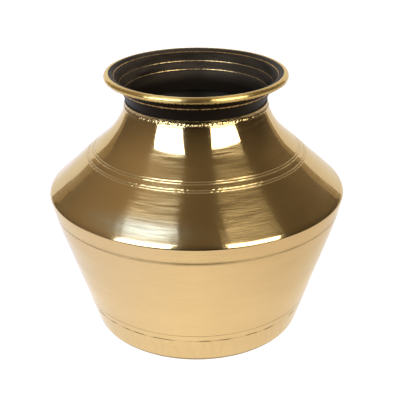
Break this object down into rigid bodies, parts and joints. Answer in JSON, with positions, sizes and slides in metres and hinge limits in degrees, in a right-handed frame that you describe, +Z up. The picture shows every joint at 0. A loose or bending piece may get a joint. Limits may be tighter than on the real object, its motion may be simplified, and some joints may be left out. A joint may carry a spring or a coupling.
{
  "type": "brass kalash pot",
  "caption": "Round-shouldered brass water pot with a flat base, tapering wall, sharp belly edge, short dark neck and a flared mouth with a rolled rim.",
  "frame": {"origin": "on the axis of the pot, in the plane of the flat base that it stands on", "axes": "+Z up along the axis, from the base to the mouth; X and Y are equal, as the pot is round"},
  "size_m": [0.25, 0.25, 0.2228],
  "materials": {
    "brass_sheet": "polished, finely turned around the axis",
    "dark_lacquer": "sheet brass under satin black-brown lacquer, bare and polished on the rolled rim",
    "brass_wire": "drawn wire",
    "brazing_metal": "rough, hammered brazing metal"
  },
  "bodies": {
    "root": {"base_dish": "brass_sheet", "body_wall": "brass_sheet", "shoulder_shell": "brass_sheet", "neck_mouth": "dark_lacquer", "rim_wire": "brass_wire", "base_braze": "brazing_metal", "belly_braze": "brazing_metal", "neck_braze": "brazing_metal"}
  },
  "joints": []
}
